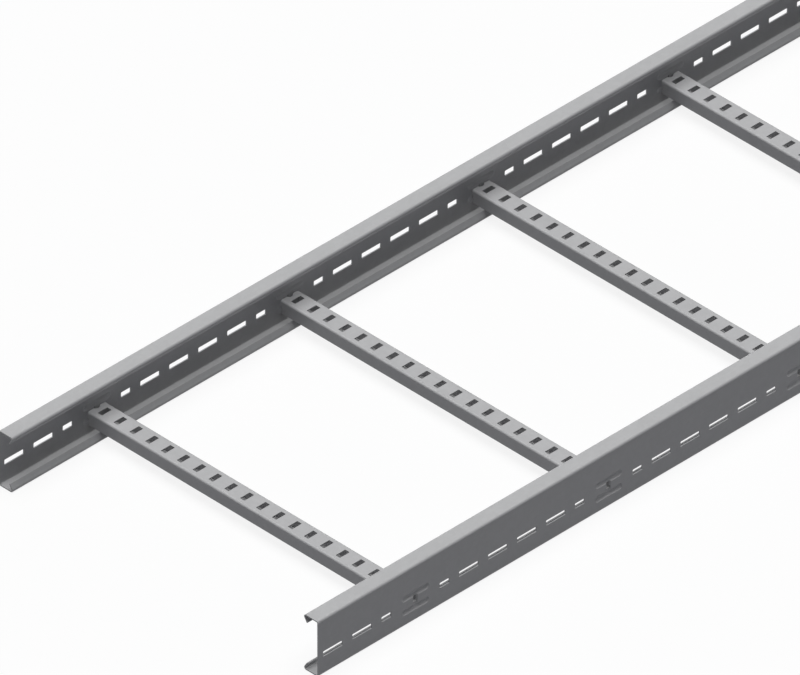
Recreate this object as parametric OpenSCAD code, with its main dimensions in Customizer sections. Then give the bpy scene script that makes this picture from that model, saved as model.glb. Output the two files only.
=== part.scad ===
// Cable ladder section: two lipped C side rails joined by perforated C rungs.
// X runs along the rails, Y across the ladder and Z up. The origin is the middle
// of the footprint, so that the rails stand on Z = 0. Sizes are in millimetres.

/* [Ladder] */
// Length of one section, along the rails
section_length = 3000; // [900:100:6000]
// Clear width between the webs of the two rails
inner_width = 500; // [150:50:1000]
// Centre distance of neighbouring rungs
rung_pitch = 300; // [250:25:400]

/* [Side rail] */
// Height of the rail
rail_height = 75; // [60:5:150]
// Width of the top and bottom flange, over the web and the bend
rail_flange = 22; // [18:1:40]
// Thickness of the rail's sheet
rail_sheet = 1.5; // [1:0.1:2]
// Outer radius of the rail's bends
rail_bend = 3; // [2.5:0.5:5]
// Height of the lip's straight part
lip_rise = 5.797; // [3:0.001:8]
// How far the lip's straight part leans back, towards the web
lip_back = 3.696; // [0:0.001:5.1]

/* [Rail slots] */
// Height of the slots' centre line above the rail's underside
slot_line = 27.5; // [20:0.5:50]
// Height of every slot in the web
slot_height = 7; // [6:0.5:12]
// Length of a long slot
long_slot = 30; // [20:1:36]
// Length of a short slot
short_slot = 15; // [10:1:20]
// Radius of the slots' corners
slot_corner = 1; // [0.5:0.25:2]
// Distance from a rung's centre to the short slot beside it
short_slot_offset = 45; // [40:1:50]
// Distance from a rung's centre to its first long slot
long_slot_offset = 82.5; // [80:0.5:90]
// Centre distance of neighbouring long slots
long_slot_pitch = 45; // [42:1:60]
// Least length of plain web between a long slot and the end of its bay
slot_margin = 5; // [2:1:10]

/* [Rung] */
// Width of the rung, along the rails
rung_width = 28; // [24:1:40]
// Height of the rung's profile
rung_height = 19; // [16:0.5:26]
// Height of the rung's top face above the rail's underside
rung_top = 31; // [28:0.5:45]
// Thickness of the rung's sheet
rung_sheet = 1.5; // [1:0.1:2]
// Outer radius of the rung's bends
rung_bend = 2.5; // [2:0.25:3.5]
// Width of each bottom lip, over the bend
rung_lip = 6; // [5:0.5:9]
// Size of a hole in the rung's top, along the rails
rung_hole_x = 15; // [8:0.5:16]
// Size of a hole in the rung's top, along the rung
rung_hole_y = 7; // [5:0.5:12]
// Centre distance of the holes along the rung
rung_hole_pitch = 25; // [20:1:40]
// Radius of the holes' corners
rung_hole_corner = 0.75; // [0.5:0.25:2]

/* [Joint] */
// Length of a long pressed bead, on the web's outer face
bead_length = 42; // [34:1:60]
// Width of a long bead, on the web's outer face
bead_width = 8.6; // [7:0.2:9.6]
// Depth to which the long beads are pressed inwards
bead_depth = 1.8; // [1.7:0.1:2.4]
// Thickness to which the pressing stretches the sheet
bead_sheet = 1.2; // [1:0.1:1.5]
// Centre distance of the upper and the lower bead
bead_pitch = 18.6; // [18:0.2:20]
// Height of plain web between the rung's top and the upper bead
bead_clear = 2.1; // [2:0.1:4]
// Width of the upright bead that links the two long ones, on the web's outer face
link_width = 7.5; // [6:0.5:8]
// Depth of the upright bead
link_depth = 1.6; // [1.2:0.1:1.6]
// Gap between the lower bead and the notch that the rung's walls have for it
notch_gap = 0.25; // [0.1:0.05:0.5]
// Width of the window that is punched through the upright bead
window_width = 5; // [4:0.5:6]
// Height of that window
window_height = 4; // [3:0.5:5]
// Gap on each side between the upright bead and the relief in the rung's top
relief_gap = 0.6; // [0.2:0.1:1]
// Depth of the relief in the end of the rung's top; the window stays below it
relief_depth = 3; // [2:0.25:3.5]

/* [Hidden] */
$fn = 64;
// How far a cutting shape runs past the face that it opens
cut_past = 1;
steel = [0.60, 0.61, 0.62];

outer_width = inner_width + 2 * rail_sheet;
rung_count = floor(section_length / rung_pitch);
first_rung_x = -(rung_count - 1) * rung_pitch / 2;

// The lip leaves its bend at this angle, along lip_run
lip_lean = atan2(lip_back, lip_rise);
lip_side = [cos(lip_lean), sin(lip_lean)];
lip_run = [-lip_back, lip_rise];

// Long slots that fit on each side of a rung, within half a bay
long_slots_a_side = 1 + floor(
    (rung_pitch / 2 - long_slot_offset - long_slot / 2 - slot_margin) / long_slot_pitch);

// A bead is an arc outside, and one of bead_sheet more inside
groove_r = arc_radius(bead_width, bead_depth);
link_r = arc_radius(link_width, link_depth);
// The arcs' centres lie this far outside the web
bead_axis_out = groove_r - bead_depth;
link_axis_out = link_r - link_depth;
// Half the width of each bead on the web's inner face
ridge_half_width = half_chord(groove_r + bead_sheet, bead_axis_out + rail_sheet);
link_half_width = half_chord(link_r + bead_sheet, link_axis_out + rail_sheet);
upper_bead_z = rung_top + bead_clear + ridge_half_width;
lower_bead_z = upper_bead_z - bead_pitch;
window_z = rung_top - relief_depth - window_height / 2;

relief_r = arc_radius(2 * (link_half_width + relief_gap), relief_depth);

rung_hole_count = floor(inner_width / rung_hole_pitch);
first_rung_hole_y = -(rung_hole_count - 1) * rung_hole_pitch / 2;

// Radius of the arc over a chord, and half the chord of a circle at a distance from its centre
function arc_radius(chord, rise) = (pow(chord / 2, 2) + pow(rise, 2)) / (2 * rise);
function half_chord(radius, distance) = sqrt(pow(radius, 2) - pow(distance, 2));

function rung_x(number) = first_rung_x + (number - 1) * rung_pitch;
function rung_name(number) = str("rung_", number < 10 ? "0" : "", number);

// A bend in sheet, about the origin: part of a ring
module bend(outer_r, sheet, start, sweep) {
    reach = 2 * outer_r;
    intersection() {
        difference() {
            circle(r = outer_r);
            circle(r = outer_r - sheet);
        }
        polygon(concat(
            [[0, 0]],
            [for (step = [0 : 3]) reach * [cos(start + sweep * step / 3), sin(start + sweep * step / 3)]]));
    }
}

module rounded_rectangle(width, height, corner) {
    square([width - 2 * corner, height], center = true);
    square([width, height - 2 * corner], center = true);
    for (x = [-1, 1], y = [-1, 1])
        translate([x * (width / 2 - corner), y * (height / 2 - corner)])
            circle(r = corner);
}

// The bottom flange with its two bends and its lip; x leads away from the web's outer face
module rail_flange_profile() {
    translate([rail_bend, rail_bend])
        bend(rail_bend, rail_sheet, 180, 90);
    translate([rail_bend, 0])
        square([rail_flange - 2 * rail_bend, rail_sheet]);
    translate([rail_flange - rail_bend, rail_bend]) {
        bend(rail_bend, rail_sheet, -90, 90 + lip_lean);
        polygon([rail_bend * lip_side, rail_bend * lip_side + lip_run,
            (rail_bend - rail_sheet) * lip_side + lip_run, (rail_bend - rail_sheet) * lip_side]);
    }
}

module rail_profile() {
    rail_flange_profile();
    translate([0, rail_height])
        mirror([0, 1])
            rail_flange_profile();
    translate([0, rail_bend])
        square([rail_sheet, rail_height - 2 * rail_bend]);
}

// All openings of the web, seen from outside: x along the rail, y up
module web_pattern() {
    for (number = [1 : rung_count]) {
        translate([rung_x(number), window_z])
            rounded_rectangle(window_width, window_height, slot_corner);
        for (side = [-1, 1]) {
            translate([rung_x(number) + side * short_slot_offset, slot_line])
                rounded_rectangle(short_slot, slot_height, slot_corner);
            for (i = [0 : long_slots_a_side - 1])
                translate([rung_x(number) + side * (long_slot_offset + i * long_slot_pitch), slot_line])
                    rounded_rectangle(long_slot, slot_height, slot_corner);
        }
    }
}

// The shape that a punch leaves at one rung: two long bars with ball ends and an
// upright bar between them, all of them larger in radius by growth
module bead_bars(growth) {
    bar_r = groove_r + growth;
    ball_x = (bead_length - bead_width) / 2;
    for (z = [lower_bead_z, upper_bead_z])
        translate([0, -bead_axis_out, z]) {
            rotate([0, 90, 0])
                cylinder(r = bar_r, h = 2 * ball_x, center = true);
            for (side = [-1, 1])
                translate([side * ball_x, 0, 0])
                    sphere(r = bar_r);
        }
    translate([0, -link_axis_out, lower_bead_z])
        cylinder(r = link_r + growth, h = bead_pitch);
}

// The inner side of the beads: what stands inwards of the middle of the web's sheet
module bead_ridges() {
    intersection() {
        bead_bars(bead_sheet);
        translate([-bead_length, rail_sheet / 2, 0])
            cube([2 * bead_length, 2 * bead_width, rail_height]);
    }
}

// One rail, with the web's outer face on y = 0 and the flanges towards +Y
module side_rail() {
    difference() {
        union() {
            rotate([90, 0, 90])
                linear_extrude(height = section_length, center = true)
                    rail_profile();
            for (number = [1 : rung_count])
                translate([rung_x(number), 0, 0])
                    bead_ridges();
        }
        translate([0, rail_sheet + bead_depth + cut_past, 0])
            rotate([90, 0, 0])
                linear_extrude(height = rail_sheet + bead_depth + 2 * cut_past)
                    web_pattern();
        for (number = [1 : rung_count])
            translate([rung_x(number), 0, 0])
                bead_bars(0);
    }
}

module side_rail_left() {
    color(steel)
        translate([0, -outer_width / 2, 0])
            side_rail();
}

module side_rail_right() {
    color(steel)
        mirror([0, 1, 0])
            translate([0, -outer_width / 2, 0])
                side_rail();
}

// A channel open at the bottom, with lips turned inwards; y = 0 is its underside
module rung_profile() {
    translate([-rung_width / 2 + rung_bend, rung_height - rung_sheet])
        square([rung_width - 2 * rung_bend, rung_sheet]);
    for (side = [0, 1])
        mirror([side, 0]) {
            translate([rung_width / 2 - rung_bend, rung_height - rung_bend])
                bend(rung_bend, rung_sheet, 0, 90);
            translate([rung_width / 2 - rung_sheet, rung_bend])
                square([rung_sheet, rung_height - 2 * rung_bend]);
            translate([rung_width / 2 - rung_bend, rung_bend])
                bend(rung_bend, rung_sheet, -90, 90);
            translate([rung_width / 2 - rung_lip, 0])
                square([rung_lip - rung_bend, rung_sheet]);
        }
}

module rung_holes() {
    for (i = [0 : rung_hole_count - 1])
        translate([0, first_rung_hole_y + i * rung_hole_pitch])
            rounded_rectangle(rung_hole_x, rung_hole_y, rung_hole_corner);
}

// What is cut from the rung's end at -Y to clear the rail's beads
module rung_end_cuts() {
    translate([0, -inner_width / 2 - (relief_r - relief_depth), rung_top - rung_sheet - cut_past])
        cylinder(r = relief_r, h = rung_sheet + 2 * cut_past);
    translate([0, -outer_width / 2 - bead_axis_out, lower_bead_z])
        rotate([0, 90, 0])
            cylinder(r = groove_r + bead_sheet + notch_gap, h = rung_width + 2 * cut_past, center = true);
}

module rung(number) {
    color(steel)
        translate([rung_x(number), 0, 0])
            difference() {
                translate([0, 0, rung_top - rung_height])
                    rotate([90, 0, 0])
                        linear_extrude(height = inner_width, center = true)
                            rung_profile();
                translate([0, 0, rung_top - rung_sheet - cut_past])
                    linear_extrude(height = rung_sheet + 2 * cut_past)
                        rung_holes();
                for (side = [0, 1])
                    mirror([0, side, 0])
                        rung_end_cuts();
            }
}

side_rail_left();
side_rail_right();
for (number = [1 : rung_count])
    rung(number);
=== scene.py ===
"""Cable ladder section: the looks, the floor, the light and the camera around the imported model."""
import math

import bpy
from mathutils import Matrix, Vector


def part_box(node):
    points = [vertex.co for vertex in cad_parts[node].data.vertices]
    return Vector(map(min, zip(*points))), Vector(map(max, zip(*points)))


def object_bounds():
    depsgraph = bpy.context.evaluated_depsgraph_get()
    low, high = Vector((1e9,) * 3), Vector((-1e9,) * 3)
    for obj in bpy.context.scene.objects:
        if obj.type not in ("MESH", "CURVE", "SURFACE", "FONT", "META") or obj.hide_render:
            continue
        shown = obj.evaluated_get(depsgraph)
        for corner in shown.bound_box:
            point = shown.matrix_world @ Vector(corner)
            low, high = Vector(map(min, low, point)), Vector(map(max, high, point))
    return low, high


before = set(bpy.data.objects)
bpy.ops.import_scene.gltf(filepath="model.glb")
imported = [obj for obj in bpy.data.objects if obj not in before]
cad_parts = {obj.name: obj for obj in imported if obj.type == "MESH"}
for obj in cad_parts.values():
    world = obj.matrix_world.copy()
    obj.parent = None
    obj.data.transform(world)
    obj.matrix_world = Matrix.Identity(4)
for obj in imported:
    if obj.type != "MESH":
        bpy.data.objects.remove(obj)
cad_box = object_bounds()

# ---------------------------------------------------------------- camera
# The picture shows the ladder's -X end from above, on a long lens, so that parallel edges
# stay parallel. Lengths are in metres, but for those of the lens.
VIEW_AZIMUTH = math.radians(-44.71)
VIEW_ELEVATION = math.radians(35.87)
LENS_MM = 1400.0
SENSOR_MM = 36.0
DISTANCE = 34.555
CLIP_NEAR = 1.0
CLIP_FAR = 200.0
# The point looked at is level with the rungs' tops, near the -X end and on the +Y side.
LOOK_FROM_END = 0.4805
LOOK_FROM_MIDDLE = 0.1066


def direction(azimuth, elevation):
    """The unit vector towards that azimuth (0 is at -Y, a quarter turn at +X) and elevation."""
    level = math.cos(elevation)
    return Vector((math.sin(azimuth) * level, -math.cos(azimuth) * level, math.sin(elevation)))


def make_camera():
    """The picture's camera."""
    rung_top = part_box("rung_01")[1][2]
    look_at = Vector((cad_box[0].x + LOOK_FROM_END, LOOK_FROM_MIDDLE, rung_top))
    back = direction(VIEW_AZIMUTH, VIEW_ELEVATION)
    data = bpy.data.cameras.new("camera")
    data.lens = LENS_MM
    data.sensor_width = SENSOR_MM
    data.clip_start = CLIP_NEAR
    data.clip_end = CLIP_FAR
    camera = bpy.data.objects.new("camera", data)
    camera.location = look_at + back * DISTANCE
    camera.rotation_euler = (-back).to_track_quat("-Z", "Y").to_euler()
    bpy.context.collection.objects.link(camera)
    bpy.context.scene.camera = camera


# ---------------------------------------------------------------- nodes
class Nodes:
    """Adds nodes to one material or world. Each input is a value, or the socket that feeds it."""

    def __init__(self, owner):
        owner.use_nodes = True
        self.owner = owner
        self.tree = owner.node_tree
        self.tree.nodes.clear()

    def add(self, kind, inputs=None, **settings):
        """A node of that kind."""
        node = self.tree.nodes.new(kind)
        for key, value in settings.items():
            setattr(node, key, value)
        for key, value in (inputs or {}).items():
            if isinstance(value, bpy.types.NodeSocket):
                self.tree.links.new(value, node.inputs[key])
            else:
                node.inputs[key].default_value = value
        return node

    def calc(self, operation, *inputs):
        """The result of that operation, such as MULTIPLY_ADD, on the inputs."""
        return self.add("ShaderNodeMath", dict(enumerate(inputs)), operation=operation).outputs[0]

    def ramp(self, value, start, end, first, last):
        """From first, where the value is start or less, to last, where it is end or more."""
        inputs = {"Value": value, "From Min": start, "From Max": end, "To Min": first, "To Max": last}
        return self.add("ShaderNodeMapRange", inputs).outputs[0]

    def band(self, value, low, high, soft):
        """1 where the value lies between low and high, fading to 0 over soft outside them."""
        rise = self.ramp(value, low - soft, low, 0.0, 1.0)
        fall = self.ramp(value, high, high + soft, 1.0, 0.0)
        return self.calc("MULTIPLY", rise, fall)

    def shown_ray(self):
        """1 for rays that show the background: of the camera, reflections and see-through ones."""
        path = self.add("ShaderNodeLightPath")
        seen = self.calc("MAXIMUM", path.outputs["Is Camera Ray"], path.outputs["Is Glossy Ray"])
        return self.calc("MAXIMUM", seen, path.outputs["Is Transmission Ray"])

    def output(self, socket, kind="ShaderNodeOutputMaterial"):
        """The output node, fed by that surface."""
        self.add(kind, {"Surface": socket})


# ---------------------------------------------------------------- galvanised steel
STEEL = (0.47, 0.471, 0.477)
GLOSS = {"Metallic": 0.05, "Specular IOR Level": 0.25}
ROUGH_LEAST = 0.42
ROUGH_MOST = 0.60
# The patterns in the zinc. Scales are per metre.
CLOUDS = {"Scale": 28.0, "Detail": 4.0, "Roughness": 0.55}
SPANGLE = {"Scale": 190.0, "Randomness": 1.0}
LINES = {"Scale": 4.0, "Detail": 3.0}
LINES_ACROSS = 260.0
LINES_ALONG = 6.0
# Each pattern goes from 0 to 1, so the shade comes to about 1 in the mean.
SHADE_LEAST = 0.90
CLOUD_SHADE = 0.10
SPANGLE_SHADE = 0.04
LINE_SHADE = 0.06
RELIEF = {"Strength": 0.06, "Distance": 0.0004}
# The upright bead at each joint comes from a punch. Painted shade: its hollow is darkened in the
# colour, most at its -X side, where shade falls.
HOLLOW_SHADE_DARK = 0.62
HOLLOW_SHADE_HALF_WIDTH = 0.0036
HOLLOW_SHADE_FADE_FROM = 0.0008
HOLLOW_SHADE_BELOW_TOP = 0.0072
HOLLOW_SHADE_ABOVE_TOP = 0.0022
HOLLOW_SHADE_DEPTH = 0.0019
HOLLOW_SHADE_SOFT_X = 0.0002
HOLLOW_SHADE_SOFT_Y = 0.0001
HOLLOW_SHADE_SOFT_Z = 0.0005


def painted_hollow_shade(n, place):
    """How much painted shade darkens the sheet: 0 but in the upright beads' hollows, on the webs'
    outer sides.
    """
    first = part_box("rung_01")
    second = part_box("rung_02")
    pitch = second[0][0] - first[0][0]
    first_x = (first[0][0] + first[1][0]) / 2
    rung_top = first[1][2]
    web_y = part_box("side_rail_right")[1][1]
    along, aside, height = n.add("ShaderNodeSeparateXYZ", {0: place}).outputs
    from_rung = n.calc("WRAP", n.calc("SUBTRACT", along, first_x), pitch / 2, -pitch / 2)
    from_middle = n.calc("ABSOLUTE", aside)
    masks = [n.band(from_rung, -HOLLOW_SHADE_HALF_WIDTH, HOLLOW_SHADE_HALF_WIDTH, HOLLOW_SHADE_SOFT_X),
             n.band(height, rung_top - HOLLOW_SHADE_BELOW_TOP, rung_top + HOLLOW_SHADE_ABOVE_TOP, HOLLOW_SHADE_SOFT_Z),
             n.band(from_middle, web_y - HOLLOW_SHADE_DEPTH, web_y + HOLLOW_SHADE_DEPTH, HOLLOW_SHADE_SOFT_Y)]
    dark = n.ramp(from_rung, HOLLOW_SHADE_FADE_FROM, HOLLOW_SHADE_HALF_WIDTH, HOLLOW_SHADE_DARK, 0.0)
    for mask in masks:
        dark = n.calc("MULTIPLY", dark, mask)
    return dark


def galvanised(name, grain_axis, shade_hollows):
    """Zinc-coated sheet: cloudy zinc, faint spangle and fine rolling lines along one axis, with
    painted shade in the upright beads' hollows where asked.
    """
    n = Nodes(bpy.data.materials.new(name))
    place = n.add("ShaderNodeTexCoord").outputs["Object"]
    clouds = n.add("ShaderNodeTexNoise", {"Vector": place, **CLOUDS}).outputs["Fac"]
    cells = n.add("ShaderNodeTexVoronoi", {"Vector": place, **SPANGLE}).outputs["Color"]
    squeeze = [LINES_ACROSS] * 3
    squeeze[grain_axis] = LINES_ALONG
    drawn = n.add("ShaderNodeMapping", {"Vector": place, "Scale": squeeze}).outputs[0]
    lines = n.add("ShaderNodeTexNoise", {"Vector": drawn, **LINES}).outputs["Fac"]
    cell_shade, cell_height, _ = n.add("ShaderNodeSeparateColor", {0: cells}).outputs
    shade = n.calc("MULTIPLY_ADD", clouds, CLOUD_SHADE, SHADE_LEAST)
    shade = n.calc("MULTIPLY_ADD", cell_shade, SPANGLE_SHADE, shade)
    shade = n.calc("MULTIPLY_ADD", lines, LINE_SHADE, shade)
    # Painted shade: the upright beads' hollows are darkened in the rails' colour.
    if shade_hollows:
        shade = n.calc("MULTIPLY", shade, n.calc("SUBTRACT", 1.0, painted_hollow_shade(n, place)))
    colour = n.add("ShaderNodeVectorMath", {0: STEEL, "Scale": shade}, operation="SCALE")
    rough = n.ramp(clouds, 0.0, 1.0, ROUGH_LEAST, ROUGH_MOST)
    relief = n.calc("ADD", cell_height, lines)
    bump = n.add("ShaderNodeBump", {"Height": relief, **RELIEF})
    steel = n.add("ShaderNodeBsdfPrincipled", {"Base Color": colour.outputs[0], "Roughness": rough,
                                               "Normal": bump.outputs[0], **GLOSS})
    n.output(steel.outputs[0])
    return n.owner


def dress_steel():
    """The steel of the rails, rolled along X, and of the rungs, rolled along Y."""
    rail_steel = galvanised("rail_steel", grain_axis=0, shade_hollows=True)
    rung_steel = galvanised("rung_steel", grain_axis=1, shade_hollows=False)
    for name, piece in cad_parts.items():
        piece.data.materials.clear()
        piece.data.materials.append(rail_steel if name.startswith("side_rail") else rung_steel)


# ---------------------------------------------------------------- floor, world and light
WHITE = (1.0, 1.0, 1.0)
# The camera sees a floor that glows almost white, with a grey part in it that takes the shadow.
FLOOR_SPREAD = 40.0
FLOOR_WHITE = 0.80
FLOOR_SHADE = 0.20
# The object is lit by a grey floor, a faint blue sky and the lamps.
FLOOR_BOUNCE = 0.25
BOUNCE_TINT = (0.96, 0.97, 1.05)
FILL = 0.025
FILL_COLOUR = (0.75, 0.85, 1.0)
# Each lamp's name, azimuth, elevation, strength, spread and whether it casts shadows. Light
# reaches hollow places in the picture, so one lamp casts none.
LAMPS = [("key_lamp", -172.0, 63.0, 0.95, 20.0, False),
         ("top_lamp", 0.0, 88.0, 1.95, 50.0, True)]


def rgba(parts, strength=1.0):
    """That colour, made that strong, as a colour socket takes it."""
    return tuple(strength * part for part in parts) + (1.0,)


def make_floor():
    """A plain pale floor under the ladder."""
    mesh = bpy.data.meshes.new("floor")
    corners = [(-1, -1), (1, -1), (1, 1), (-1, 1)]
    points = [(x * FLOOR_SPREAD, y * FLOOR_SPREAD, cad_box[0].z) for x, y in corners]
    mesh.from_pydata(points, [], [(0, 1, 2, 3)])
    floor = bpy.data.objects.new("floor", mesh)
    bpy.context.collection.objects.link(floor)
    n = Nodes(bpy.data.materials.new("floor_white"))
    shaded = n.add("ShaderNodeBsdfDiffuse", {"Color": rgba(WHITE, FLOOR_SHADE)})
    glow = n.add("ShaderNodeEmission", {"Color": rgba(WHITE), "Strength": FLOOR_WHITE})
    seen = n.add("ShaderNodeAddShader", {0: shaded.outputs[0], 1: glow.outputs[0]})
    bounce = n.add("ShaderNodeBsdfDiffuse", {"Color": rgba(BOUNCE_TINT, FLOOR_BOUNCE)})
    mixed = n.add("ShaderNodeMixShader", {0: n.shown_ray(), 1: bounce.outputs[0], 2: seen.outputs[0]})
    n.output(mixed.outputs[0])
    mesh.materials.append(n.owner)


def make_world():
    """A world that is white to look at and gives the object a faint blue fill."""
    world = bpy.data.worlds.new("studio")
    bpy.context.scene.world = world
    n = Nodes(world)
    shown = n.shown_ray()
    tint = n.add("ShaderNodeMix", {"Factor": shown, "A": rgba(FILL_COLOUR), "B": rgba(WHITE)},
                 data_type="RGBA")
    glow = n.add("ShaderNodeBackground", {"Color": tint.outputs["Result"],
                                          "Strength": n.ramp(shown, 0.0, 1.0, FILL, 1.0)})
    n.output(glow.outputs[0], "ShaderNodeOutputWorld")


def make_lamp(name, azimuth, elevation, strength, spread, shadow):
    """A soft lamp far off. Its azimuth, elevation and spread are in degrees."""
    data = bpy.data.lights.new(name, "SUN")
    data.energy = strength
    data.angle = math.radians(spread)
    data.use_shadow = shadow
    lamp = bpy.data.objects.new(name, data)
    towards = direction(math.radians(azimuth), math.radians(elevation))
    lamp.rotation_euler = towards.to_track_quat("Z", "Y").to_euler()
    bpy.context.collection.objects.link(lamp)


make_camera()
dress_steel()
make_floor()
make_world()
for lamp in LAMPS:
    make_lamp(*lamp)
bpy.context.scene.view_settings.view_transform = "Standard"
